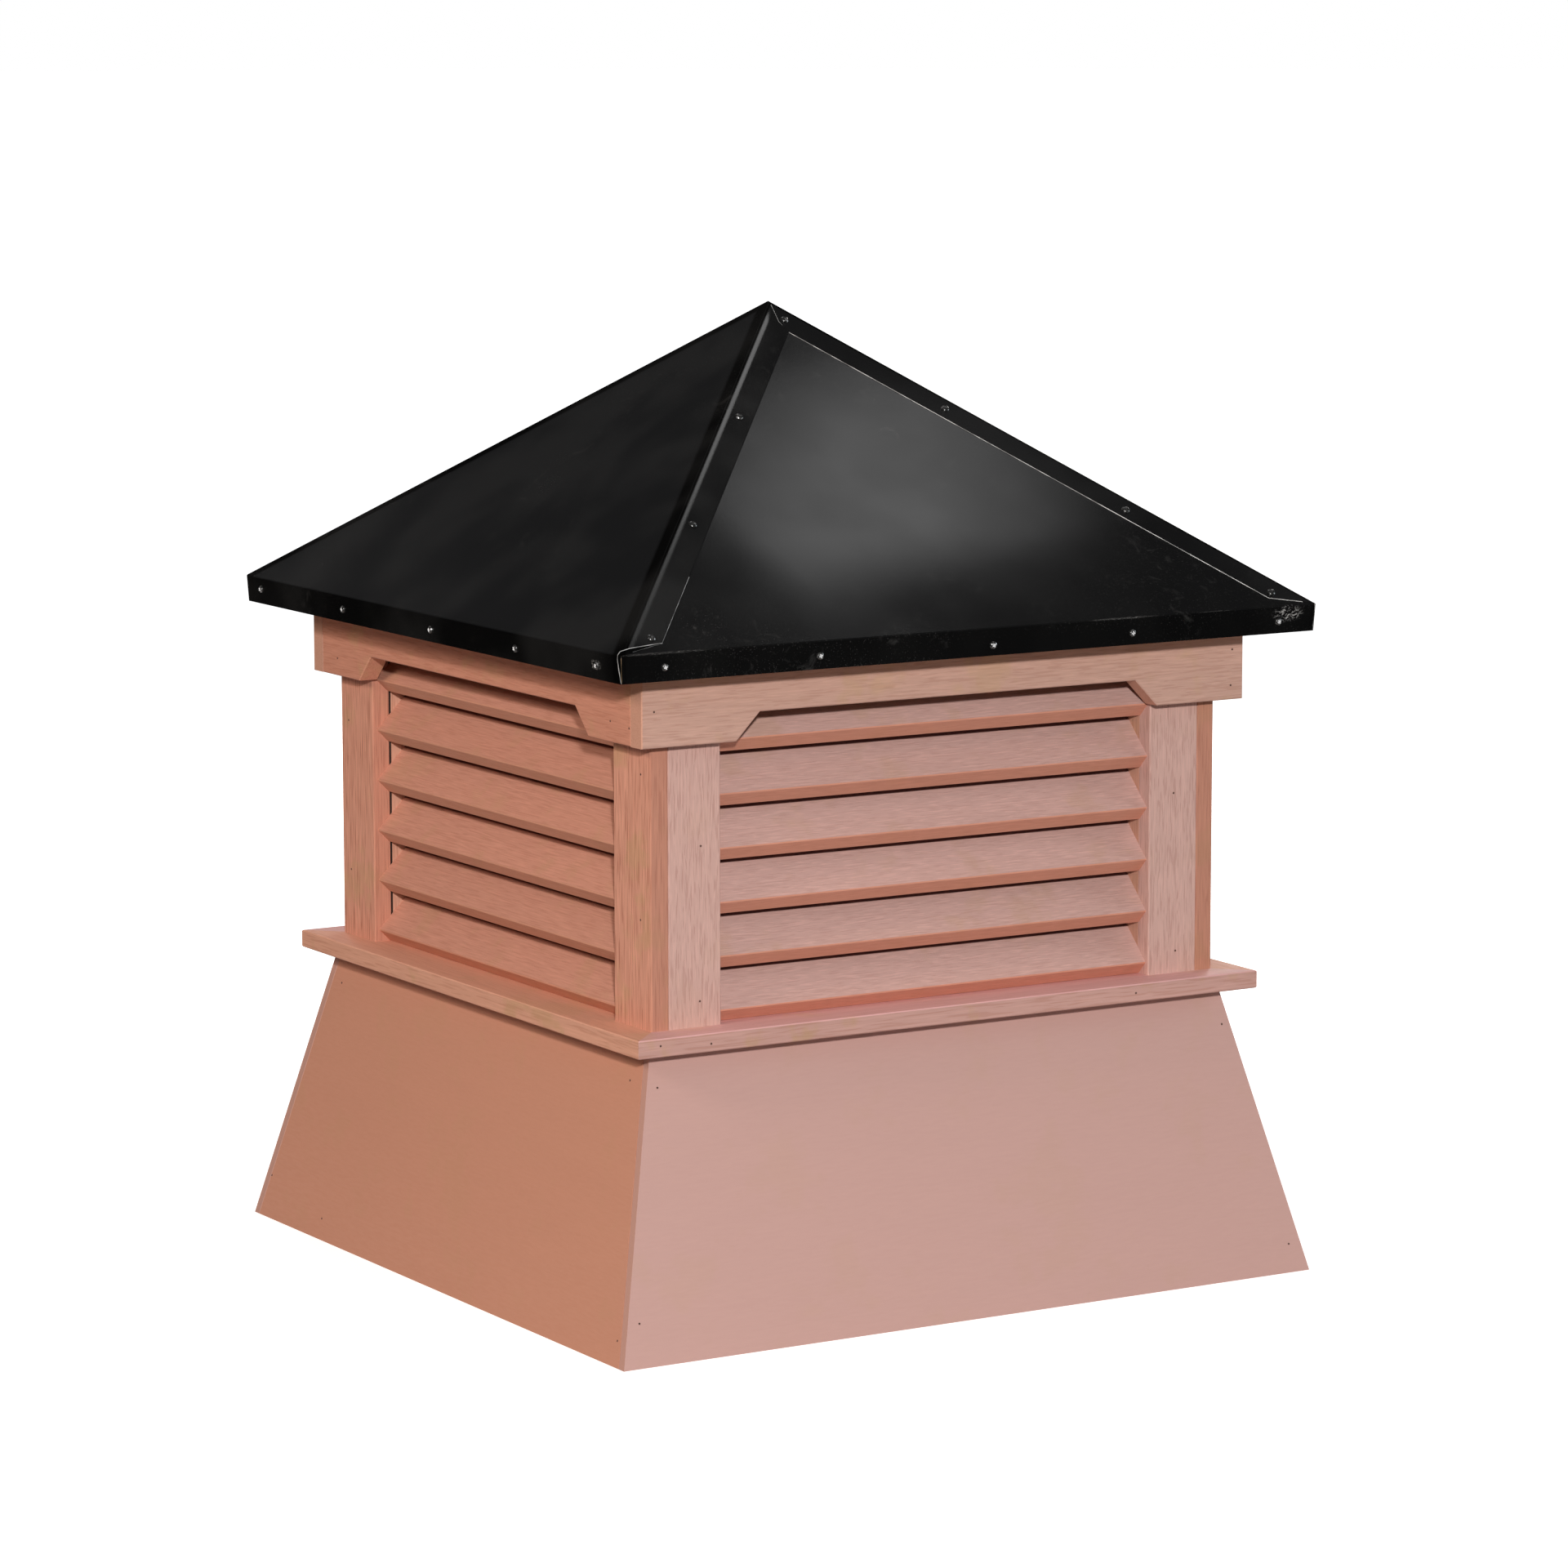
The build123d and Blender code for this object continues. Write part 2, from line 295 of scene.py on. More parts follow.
# Each side board takes a more orange copy of the stain and each face board a paler, pinker one: painted
# light, the front faces toned as if they caught a cooler light and a sheen.
for end, way in (("front", -1), ("back", 1)):
    side_upright = stained_wood(
        "corner_board_side_" + end, "z", tone(212, 152, 130), tone(166, 104, 84), tone(190, 152, 112),
        lines=(0.65, 0.95), line_size=(0.05, 0.0016), bands=0.06, tan_share=0.42, relief=0.4,
        sawn=(0, way, 0), both_ends=True, sawn_and_light_tone=(0.80, 0.76, 0.74, 1),
    )
    face_upright = stained_wood(
        "corner_board_face_" + end, "z", tone(207, 168, 158), tone(180, 136, 126), tone(196, 160, 138),
        lines=(0.50, 0.45), line_size=(0.024, 0.0017), bands=0.06, tan_share=0.14, relief=0.3,
    )
    for hand in ("left", "right"):
        wear(side_upright, f"corner_side_board_{end}_{hand}")
        wear(face_upright, f"corner_face_board_{end}_{hand}")

# ---------------------------------------------------------------------------------------------
# Louvres.
# Six fixed slats of ripped softwood to an opening, nailed at 45 degrees between two stiles. Their
# sawn lips take the stain in a tone of their own, partly painted light, and under each lip a band
# of painted shade darkens the slat below. At the left and right openings a line of painted shadow
# runs down each stile where it meets the corner board.
# ---------------------------------------------------------------------------------------------

slat_pitch = 0.0601
slat_spread = 0.03    # how much paler or darker than the rest a slat may be
first_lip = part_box("louvre_slats_front")[0].z - 0.002


def slat_by_slat(tree, place, colour, shade_from):
    """Each slat takes the stain a little differently; from a share of the pitch up it is darkened as painted
    shade.
    """
    level = lay(tree, "ShaderNodeSeparateXYZ", {0: place}).outputs[2]
    slats_up = figure(tree, "DIVIDE", figure(tree, "SUBTRACT", level, first_lip), slat_pitch)
    slat = figure(tree, "FLOOR", slats_up)
    chance = lay(tree, "ShaderNodeTexWhiteNoise", {"W": slat}, noise_dimensions="1D").outputs["Value"]
    spans = {"Value": chance, "To Min": 1 - slat_spread, "To Max": 1 + slat_spread}
    colour = brighten(tree, colour, lay(tree, "ShaderNodeMapRange", spans).outputs["Result"])
    # Painted shade: from the given share of the pitch up, under the lip above, the slat's colour is darkened.
    shade_under_lip = between(tree, figure(tree, "FRACT", slats_up), shade_from, shade_from + 0.02)
    lip_shade_tone = blend_colours(tree, 1.0, colour, (0.30, 0.24, 0.24, 1), "MULTIPLY")
    return blend_colours(tree, shade_under_lip, colour, lip_shade_tone)


def painted_joint_shadow(tree, place, colour, plane):
    """Painted shadow: a near-black line just behind a plane across x, where the piece meets the board in
    front.
    """
    across = lay(tree, "ShaderNodeSeparateXYZ", {0: place}).outputs[0]
    behind = figure(tree, "ABSOLUTE", figure(tree, "SUBTRACT", across, plane))
    dark = between(tree, behind, 0.0014, 0.0024, 1.0, 0.0)
    return blend_colours(tree, dark, colour, (0.02, 0.012, 0.01, 1))


half_right = math.sqrt(0.5)
# The front and back slats take a paler, pinker copy of the stain than the side ones: painted light, the front
# faces toned as if they caught a cooler light and a sheen. On the lips the tone is a more orange stain on the
# end grain, lifted in red on the front slats and made paler on the side ones as painted light on faces that
# look down.
across_front = {
    "grain": "x",
    "stains": (tone(204, 166, 158), tone(176, 132, 121), tone(192, 156, 129)),
    "looks": {"lines": (0.25, 0.60), "line_size": (0.022, 0.0015), "sawn_and_light_tone": (1.09, 0.77, 0.60, 1)},
    "shade_from": 0.880,
}
across_side = {
    "grain": "y",
    "stains": (tone(204, 146, 126), tone(172, 112, 92), tone(190, 147, 114)),
    "looks": {"lines": (0.28, 0.40), "line_size": (0.036, 0.0015), "sawn_and_light_tone": (1.05, 1.05, 0.98, 1)},
    "shade_from": 0.857,
}
for side, x, y in (("front", 0, -1), ("back", 0, 1), ("left", -1, 0), ("right", 1, 0)):
    look = across_front if y else across_side
    slat_tone_and_shade = partial(slat_by_slat, shade_from=look["shade_from"])
    slat_wood = stained_wood(
        "louvre_slat_" + side, look["grain"], *look["stains"], bands=0.04, tan_share=0.30, relief=0.35,
        sawn=(half_right * x, half_right * y, -half_right), marks=[slat_tone_and_shade], **look["looks"],
    )
    stile_low, stile_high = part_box("louvre_stiles_" + side)
    stile_shadow = partial(painted_joint_shadow, plane=stile_high.x if x > 0 else stile_low.x)
    stile_wood = stained_wood(
        "louvre_stile_" + side, "z", tone(204, 154, 132), tone(166, 110, 88), tone(190, 152, 116),
        lines=(0.4, 0.3), marks=[stile_shadow] if x else [],
    )
    wear(stile_wood, "louvre_stiles_" + side)
    wear(slat_wood, "louvre_slats_" + side)

# ---------------------------------------------------------------------------------------------
# Frieze.
# Four boards at the head of the box, cut to a shallow arch over the louvres, the front and back
# ones running over the ends of the other two.
# ---------------------------------------------------------------------------------------------

# The front and back boards take a paler, pinker copy of the stain than the side ones: painted light, the
# front faces toned as if they caught a cooler light and a sheen.
frieze_grain = {"line_size": (0.03, 0.0018), "bands": 0.08, "relief": 0.35}
frieze_rose = stained_wood(
    "frieze_board_front", "x", tone(201, 161, 146), tone(174, 128, 111), tone(194, 158, 126),
    lines=(0.35, 0.40), tan_share=0.45, sawn=(1, 0, 0), both_ends=True, sawn_and_light_tone=(1.0, 0.87, 0.78, 1),
    **frieze_grain,
)
frieze_red = stained_wood(
    "frieze_board_side", "y", tone(201, 140, 118), tone(174, 111, 87), tone(192, 152, 114),
    lines=(0.35, 0.35), tan_share=0.40, **frieze_grain,
)
wear(frieze_rose, "frieze_board_front", "frieze_board_back")
wear(frieze_red, "frieze_board_left", "frieze_board_right")

# ---------------------------------------------------------------------------------------------
# Soffit and roof boards.
# Plain softwood boards under the sheet roof: a mitred frame that closes the eaves, and the
# sloping boards that the sheets are fixed to. Never stained, as nothing of them shows from level.
# ---------------------------------------------------------------------------------------------

raw_across = stained_wood("raw_softwood_front", "x", *bare_softwood, tan_share=0.4)
raw_along = stained_wood("raw_softwood_side", "y", *bare_softwood, tan_share=0.4)
for board in ("soffit_board_", "roof_board_"):
    wear(raw_across, board + "front", board + "back")
    wear(raw_along, board + "left", board + "right")

# ---------------------------------------------------------------------------------------------
# Sheet roof.
# Thin steel sheets with a satin black finish, folded down at the eaves. The left and right
# sheets turn over the hips and lap the front and back ones, which ripple slightly where fixed.
# ---------------------------------------------------------------------------------------------

flange_drop, flange_inset = 0.031, 0.0017    # the drip flange's height, and how far its foot leans in
roof_low, roof_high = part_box("roof_panel_left")
eave_out = roof_high.y    # from the middle of the roof to the fold at its eaves
eave_level = roof_low.z + flange_drop
apex_level = 1.1156
roof_slope = math.radians(36.43)


def make_sheet_lie():
    """How thin sheet lies over boards, in metres, and a mask of the bend, where the brake left it dull.

    It is pulled down along its hips and its eave, has a soft ridge just past the bend of each hip and
    laps that spring up at the free edge, and bears long shallow ripples and the finish's orange-peel.
    """
    tree, took, gave = effect_group(
        "sheet_lie",
        {
            "Place": (0.0, 0.0, 0.0),
            "Belly": 0.003,
            "Corner Dip": 0.005,
            "Hip Ridge": 0.0,
            "Lap Spring": 0.0,
            "Ripple": 0.0008,
            "Peel": 0.00002,
        },
        {"Height": 0.0, "Bend": 0.0},
    )
    where = lay(tree, "ShaderNodeSeparateXYZ", {0: took["Place"]}).outputs
    out = figure(tree, "ABSOLUTE", where[1])
    across = figure(tree, "MULTIPLY", where[0], figure(tree, "SIGN", where[1]), -1.0)
    from_hip = figure(tree, "SUBTRACT", out, figure(tree, "ABSOLUTE", where[0]))
    from_eave = figure(tree, "SUBTRACT", eave_out, out)
    belly = figure(tree, "MULTIPLY", between(tree, from_eave, -0.08, 0.13), took["Belly"])
    flat_place = lay(tree, "ShaderNodeCombineXYZ", {0: across, 1: out}).outputs[0]
    ends = {0: flat_place, 1: (-eave_out, eave_out, 0)}
    from_corner = lay(tree, "ShaderNodeVectorMath", ends, operation="DISTANCE").outputs["Value"]
    dip = figure(tree, "MULTIPLY", between(tree, from_corner, 0.02, 0.29), took["Corner Dip"])
    flattened = between(tree, out, 0.0, eave_out, 1.0, 0.4)
    own_side = between(tree, across, 0.0, -0.02)
    past_bend = between(tree, from_hip, 0.0042, 0.0142)
    ridge = figure(tree, "MULTIPLY", past_bend, flattened, own_side, took["Hip Ridge"])
    spring = figure(tree, "MULTIPLY", figure(tree, "MAXIMUM", from_hip, 0.0), took["Lap Spring"])
    ripple = figure(tree, "MULTIPLY", noise(tree, took["Place"], 3.4, 1.0, roughness=0.4), took["Ripple"])
    peel = figure(tree, "MULTIPLY", noise(tree, took["Place"], 420.0, 1.0), took["Peel"])
    tree.links.new(figure(tree, "ADD", ripple, peel, belly, dip, ridge, spring), gave["Height"])
    near_side, far_side = between(tree, from_hip, -0.024, -0.012), between(tree, from_hip, 0.0080, 0.0050)
    tree.links.new(figure(tree, "MULTIPLY", near_side, far_side), gave["Bend"])
    return tree


def make_yard_dust():
    """Grey specks and faint smears of dust on the finish."""
    tree, took, gave = effect_group(
        "yard_dust", {"Place": (0.0, 0.0, 0.0), "Specks": 0.5, "Smears": 0.3}, {"Mask": 0.0}
    )
    drift = noise(tree, took["Place"], 5.0, 2.0)
    speck = between(tree, noise(tree, took["Place"], 620.0, 0.0), 0.70, 0.80)
    smear = between(tree, noise(tree, took["Place"], 38.0, 4.0, roughness=0.7, distortion=1.2), 0.55, 0.75)
    specked = figure(tree, "MULTIPLY", speck, between(tree, drift, 0.42, 0.62), took["Specks"])
    smeared = figure(tree, "MULTIPLY", smear, between(tree, drift, 0.5, 0.66), took["Smears"])
    tree.links.new(figure(tree, "MAXIMUM", specked, smeared), gave["Mask"])
    return tree


def make_scuff_and_highlight_patch():
    """A scuff beside a fixing, where a driver slipped and rubbed the finish, and also each painted highlight
    streak along the eave fold: broken swirls in an oval.
    """
    tree, took, gave = effect_group(
        "scuff_patch",
        {
            "Place": (0.0, 0.0, 0.0),
            "Centre": (0.0, 0.0, 0.0),
            "Reach": 0.02,
            "Squeeze": (1.0, 1.0, 1.0),
            "Mark Strength": 1.0,
        },
        {"Mask": 0.0},
    )
    ends = {0: took["Place"], 1: took["Centre"]}
    away = lay(tree, "ShaderNodeVectorMath", ends, operation="SUBTRACT").outputs[0]
    squeezed = {0: away, 1: took["Squeeze"]}
    oval = lay(tree, "ShaderNodeVectorMath", squeezed, operation="MULTIPLY").outputs[0]
    far = lay(tree, "ShaderNodeVectorMath", {0: oval}, operation="LENGTH").outputs["Value"]
    inside = between(tree, figure(tree, "DIVIDE", far, took["Reach"]), 1.0, 0.35)
    swirl = between(tree, noise(tree, oval, 85.0, 5.0, roughness=0.7, distortion=2.6), 0.51, 0.60)
    fine = between(tree, noise(tree, away, 900.0, 2.0), 0.25, 0.55)
    tree.links.new(figure(tree, "MULTIPLY", inside, swirl, fine, took["Mark Strength"]), gave["Mask"])
    return tree


sheet_lie = make_sheet_lie()
yard_dust = make_yard_dust()
scuff_patch = make_scuff_and_highlight_patch()


def black_sheet(name, lie, specks, smears, blacks, gloss, shine, scuffs_and_highlights):
    """Satin black sheet metal, clouded between two blacks, with dust, scuff marks and painted highlight
    streaks on it.
    """
    material, tree, place = new_material(name)
    dust = {"Place": place, "Specks": specks, "Smears": smears}
    mask = lay(tree, "ShaderNodeGroup", dust, node_tree=yard_dust).outputs["Mask"]
    for centre, reach, squeeze, through in scuffs_and_highlights:
        spot = {"Place": place, "Centre": centre, "Reach": reach}
        rub = {"Squeeze": squeeze, "Mark Strength": through}
        rubbed = lay(tree, "ShaderNodeGroup", {**spot, **rub}, node_tree=scuff_patch)
        mask = figure(tree, "MAXIMUM", mask, rubbed.outputs["Mask"])
    # Dust, scuff marks and the painted highlight streaks along the eave fold all show in the same pale grey.
    shade = noise(tree, place, 7.0, 2.0)
    cold, plain = blacks
    clouded = between(tree, shade, 0.38, 0.64)
    coat = blend_colours(tree, clouded, (cold, cold, cold * 1.03, 1), (plain, plain, plain, 1))
    sheet = lay(tree, "ShaderNodeGroup", {"Place": place, **lie}, node_tree=sheet_lie)
    rise = {"Strength": 1.0, "Distance": 1.0, "Height": sheet.outputs["Height"]}
    satin = between(tree, shade, 0.3, 0.7, gloss - 0.03, gloss + 0.03)
    close_material(
        tree,
        {
            "Base Color": blend_colours(tree, mask, coat, (0.46, 0.45, 0.44, 1)),
            "Roughness": figure(tree, "ADD", figure(tree, "MULTIPLY", mask, 0.3), satin),
            "Normal": lay(tree, "ShaderNodeBump", rise).outputs[0],
            "Specular IOR Level": between(tree, sheet.outputs["Bend"], 0.0, 1.0, shine, 0.02 * shine),
        },
    )
    return material


# The three streaks along the eave fold below are painted highlights of the fold, laid on in grey; for them
# the last number says how strongly they show.
round_scuff = (1.0, 1.0, 2.2)
painted_fold_streak = (1.0, 34.0, 34.0)    # a streak along the eave fold
front_scuffs_and_fold_highlights = (    # each one's place across and up, how far it reaches, its form, and how deep it went
    (0.417, 0.7705, 0.025, round_scuff, 1.0),
    (-0.402, eave_level, 0.070, painted_fold_streak, 0.35),
    (0.190, eave_level, 0.055, painted_fold_streak, 0.55),
    (0.315, eave_level, 0.030, painted_fold_streak, 0.30),
)
front_sheet = black_sheet(
    "black_sheet_front",
    {"Belly": 0.0060, "Corner Dip": 0.0050, "Ripple": 0.0010},
    specks=0.04,
    smears=0.06,
    blacks=(0.0032, 0.0048),
    gloss=0.18,
    shine=0.5,
    scuffs_and_highlights=[
        ((hand * across, hand * -(eave_out - 0.0001), level), reach, form, through)
        for hand in (1, -1)
        for across, level, reach, form, through in front_scuffs_and_fold_highlights
    ],
)
side_sheet = black_sheet(
    "black_sheet_side",
    {"Belly": 0.0, "Corner Dip": 0.0, "Lap Spring": 0.11, "Hip Ridge": 0.0011, "Ripple": 0.0008},
    specks=0.03,
    smears=0.04,
    blacks=(0.0018, 0.0100),
    gloss=0.24,
    shine=0.40,
    scuffs_and_highlights=[
        ((hand * (eave_out - 0.0005), hand * 0.400, 0.764), 0.014, round_scuff, 1.0)
        for hand in (-1, 1)
    ],
)
wear(front_sheet, "roof_panel_front", "roof_panel_back")
wear(side_sheet, "roof_panel_left", "roof_panel_right")

# ---------------------------------------------------------------------------------------------
# Sheared edges of the laps.
# The black finish stops where the sheets were sheared, so a fine bright edge of bare steel runs
# down the upper lap of each pair, round the lower ends, and down the flange at the corner, where
# the end of the lower lap springs off in a small curl.
# ---------------------------------------------------------------------------------------------

lap_thickness = 0.001
lap_width = 0.036
lap_end_out = 0.4442    # where the lower ends are cut off


def lap_height(out):
    """Level of the middle of the lap's cut edge at a distance from the ridge point."""
    return apex_level + 0.35 * lap_thickness / math.cos(roof_slope) - out * math.tan(roof_slope)


bare_steel, tree, place = new_material("bare_steel_edge")
nibbled = noise(tree, place, 55.0, 3.0)
clean = between(tree, nibbled, 0.38, 0.62)
close_material(
    tree,
    {
        "Base Color": blend_colours(tree, clean, (0.30, 0.30, 0.30, 1), (0.80, 0.80, 0.80, 1)),
        "Metallic": 0.1,
        "Roughness": between(tree, nibbled, 0.3, 0.7, 0.35, 0.5),
    },
)


def geometry_tree(name, settings):
    """An empty Geometry Nodes tree that takes a carrier and named settings and makes one geometry."""
    tree = bpy.data.node_groups.new(name, "GeometryNodeTree")
    for socket, kind in {"Carrier": "Geometry", **settings}.items():
        tree.interface.new_socket(name=socket, in_out="INPUT", socket_type="NodeSocket" + kind)
    tree.interface.new_socket(name="Made", in_out="OUTPUT", socket_type="NodeSocketGeometry")
    return tree, tree.nodes.new("NodeGroupInput").outputs, tree.nodes.new("NodeGroupOutput").inputs


def make_burr_tree():
    """A square bead of metal that follows an edge."""
    settings = {"Burr Width": "Float", "Burr Height": "Float", "Metal": "Material"}
    tree, took, gave = geometry_tree("burr_along_edge", settings)
    route = lay(tree, "GeometryNodeMeshToCurve", {"Mesh": took["Carrier"]}).outputs[0]
    level_route = lay(tree, "GeometryNodeSetCurveNormal", {"Curve": route}, mode="Z_UP").outputs[0]
    cut = {"Width": took["Burr Width"], "Height": took["Burr Height"]}
    section = lay(tree, "GeometryNodeCurvePrimitiveQuadrilateral", cut).outputs[0]
    bead = {"Curve": level_route, "Profile Curve": section, "Fill Caps": True}
    drawn = lay(tree, "GeometryNodeCurveToMesh", bead).outputs[0]
    solid = lay(tree, "GeometryNodeRealizeInstances", {"Geometry": drawn}).outputs[0]
    made = lay(tree, "GeometryNodeSetMaterial", {"Geometry": solid, "Material": took["Metal"]})
    tree.links.new(made.outputs[0], gave["Made"])
    return tree


def carrier(name, points, edges=(), facings=None):
    """A bare mesh that a Geometry Nodes tree works on: points, and the way each one faces."""
    mesh = bpy.data.meshes.new(name)
    mesh.from_pydata(points, edges, [])
    if facings:
        facing = mesh.attributes.new("facing", "FLOAT_VECTOR", "POINT")
        for n, way in enumerate(facings):
            facing.data[n].vector = way
    piece = bpy.data.objects.new(name, mesh)
    bpy.context.scene.collection.objects.link(piece)
    return piece


def grow(piece, tree, **inputs):
    """Runs a tree on its carrier and keeps the result as a plain mesh, smooth but for its sharp edges."""
    modifier = piece.modifiers.new("tree", "NODES")
    modifier.node_group = tree
    for socket in tree.interface.items_tree:
        key = socket.name.replace(" ", "_")
        if key in inputs:
            modifier[socket.identifier] = inputs[key]
    view = bpy.context.evaluated_depsgraph_get()
    view.update()
    plain = bpy.data.meshes.new_from_object(piece.evaluated_get(view))
    piece.modifiers.remove(modifier)
    piece.data = plain
    shell = bmesh.new()
    shell.from_mesh(plain)
    bmesh.ops.remove_doubles(shell, verts=shell.verts, dist=1e-7)
    bmesh.ops.recalc_face_normals(shell, faces=shell.faces)
    for face in shell.faces:
        face.smooth = True
    sharp = math.radians(38)
    for edge in shell.edges:
        edge.smooth = edge.is_manifold and edge.calc_face_angle() < sharp
    shell.to_mesh(plain)
    shell.free()


def curled_end(name, flipped, foot, places, tip):
    """A strip of sheet that starts and ends on the lap and stands off it between, by each place's lift."""
    strip = bmesh.new()
    ends = [strip.verts.new(flipped @ Vector(at)) for at in (foot, tip)]
    inner = [strip.verts.new(flipped @ Vector(at)) for at, _ in places]
    outer = [strip.verts.new(flipped @ (Vector(at) + Vector(lift))) for at, lift in places]
    inner, outer = ([ends[0], *row, ends[1]] for row in (inner, outer))
    for n in range(len(inner) - 1):
        corners = (inner[n], inner[n + 1], outer[n + 1], outer[n])
        strip.faces.new(list(dict.fromkeys(corners)))
    strip.normal_update()
    bmesh.ops.solidify(strip, geom=strip.faces[:], thickness=0.0005)
    bmesh.ops.recalc_face_normals(strip, faces=strip.faces)
    mesh = bpy.data.meshes.new(name)
    strip.to_mesh(mesh)
    strip.free()
    mesh.materials.append(side_sheet)
    piece = bpy.data.objects.new(name, mesh)
    bpy.context.scene.collection.objects.link(piece)
    return piece


burr_tree = make_burr_tree()
hip_sine = math.sqrt(1 - 1 / (2 + math.tan(roof_slope) ** 2))    # of the angle from a hip to the eave
lap_reach = lap_width / hip_sine
lap_foot = lap_end_out - lap_reach
part_down = 0.80    # the lower lap's edge shows on its last fifth only
edge_foot, edge_out = part_down * lap_foot, lap_reach + part_down * (lap_end_out - lap_reach)
head_cut = [
    (-0.0005, 0.0070, lap_height(0.0070) + 0.0006),
    (-0.0045, 0.0310, lap_height(0.0310) + 0.0006),
    (0.0, lap_reach, lap_height(lap_reach) + 0.0002),
]
end_cut = [
    (lap_foot, lap_end_out, lap_height(lap_end_out)),
    (eave_out - 0.0050, eave_out - 0.0012, lap_height(eave_out - 0.0012)),
    (eave_out - 0.0012, eave_out - 0.0004, eave_level + 0.0003),
    (eave_out - 0.0006, eave_out - 0.0004, eave_level - 0.0030),
    (eave_out - 0.0022, eave_out - 0.0021, eave_level - 0.0304),
]
curl = [    # places along the end of the lower lap, and how far the sheet springs off the corner there
    ((0.4270, 0.4499, lap_height(0.4499)), (0.0, 0.0, 0.0030)),
    ((0.4428, 0.4530, lap_height(0.4530)), (0.0, 0.0, 0.0045)),
    (end_cut[1], (0.0045, 0.0002, 0.0033)),
    (end_cut[2], (0.0042, 0.0, 0.0007)),
    (end_cut[3], (0.0039, 0.0, 0.0)),
    ((eave_out - 0.0014, eave_out - 0.0012, eave_level - 0.0153), (0.0024, 0.0, 0.0)),
]
sprung = [tuple(Vector(at) + Vector(lift)) for at, lift in curl]
for side, turn in (("front", -1), ("back", 1)):
    for name, hand, outline, burr_width in (
        ("upper_lap", -turn, head_cut + end_cut, 0.0003),
        ("lower_lap_edge", turn, [(edge_foot, edge_out, lap_height(edge_out)), end_cut[0]], 0.0003),
        ("lower_lap_end", turn, end_cut, 0.0003),
        ("lower_lap_curl", turn, [end_cut[0], *sprung, end_cut[-1]], 0.0005),
    ):
        points = [(hand * x, turn * y, z) for x, y, z in outline]
        burr = carrier(f"burr_{name}_{side}", points, [(n, n + 1) for n in range(len(points) - 1)])
        grow(burr, burr_tree, Burr_Width=burr_width, Burr_Height=2 * burr_width, Metal=bare_steel)
        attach(burr, "root")
    flipped = Matrix.Diagonal((turn, turn, 1))
    end_curl = curled_end(f"lap_end_curl_{side}", flipped, end_cut[0], curl, end_cut[-1])
    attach(end_curl, "root")

# ---------------------------------------------------------------------------------------------
# Rivets down the laps.
# Blind rivets with low domed black heads and a dull pin left in the middle, three down the left hip
# of the front and back faces and four down the right one, the first of them near the ridge point.
# ---------------------------------------------------------------------------------------------


def join(tree, *parts):
    """Several geometries as one."""
    joined = lay(tree, "GeometryNodeJoinGeometry")
    for part in parts:
        tree.links.new(part, joined.inputs[0])
    return joined.outputs[0]


def made_of(tree, geometry, material, selection=True):
    """A geometry with a material on it, or on a selected part of it."""
    feeds = {"Geometry": geometry, "Selection": selection, "Material": material}
    return lay(tree, "GeometryNodeSetMaterial", feeds).outputs[0]


def turned_head(tree, width, height, sides, steps):
    """A lathe-turned head, closed below: each step rises by a share of the height, then narrows."""
    disc = {"Vertices": sides, "Radius": figure(tree, "DIVIDE", width, 2.0)}
    rim = lay(tree, "GeometryNodeMeshCircle", disc, fill_type="NGON").outputs[0]
    body, crown = rim, True
    for rise, narrowed in steps:
        lift = {"Offset Scale": figure(tree, "MULTIPLY", height, rise), "Individual": False}
        drawn = lay(tree, "GeometryNodeExtrudeMesh", {"Mesh": body, "Selection": crown, **lift}, mode="FACES")
        body, crown = drawn.outputs["Mesh"], drawn.outputs["Top"]
        ring = {"Geometry": body, "Selection": crown, "Scale": narrowed}
        body = lay(tree, "GeometryNodeScaleElements", ring, domain="FACE").outputs[0]
    whole = join(tree, body, lay(tree, "GeometryNodeFlipFaces", {"Mesh": rim}).outputs[0])
    return lay(tree, "GeometryNodeMergeByDistance", {"Geometry": whole, "Distance": 0.00002}).outputs[0]


def stand_on_points(tree, points, head, seed):
    """One head on each point, square to the surface there and turned by chance."""
    facing = lay(tree, "GeometryNodeInputNamedAttribute", {"Name": "facing"}, data_type="FLOAT_VECTOR")
    square = lay(tree, "FunctionNodeAlignEulerToVector", {"Vector": facing.outputs[0]}, axis="Z")
    full_turn = 6.283
    spans = {0: (0, 0, 0), 1: (0, 0, full_turn), "Seed": seed}
    chance = lay(tree, "FunctionNodeRandomValue", spans, data_type="FLOAT_VECTOR")
    turns = {"Rotation": square.outputs[0], "Rotate By": chance.outputs[0]}
    turned = lay(tree, "FunctionNodeRotateEuler", turns, rotation_type="EULER", space="LOCAL")
    heads = {"Points": points, "Instance": head, "Rotation": turned.outputs[0]}
    placed = lay(tree, "GeometryNodeInstanceOnPoints", heads).outputs[0]
    return lay(tree, "GeometryNodeRealizeInstances", {"Geometry": placed}).outputs[0]


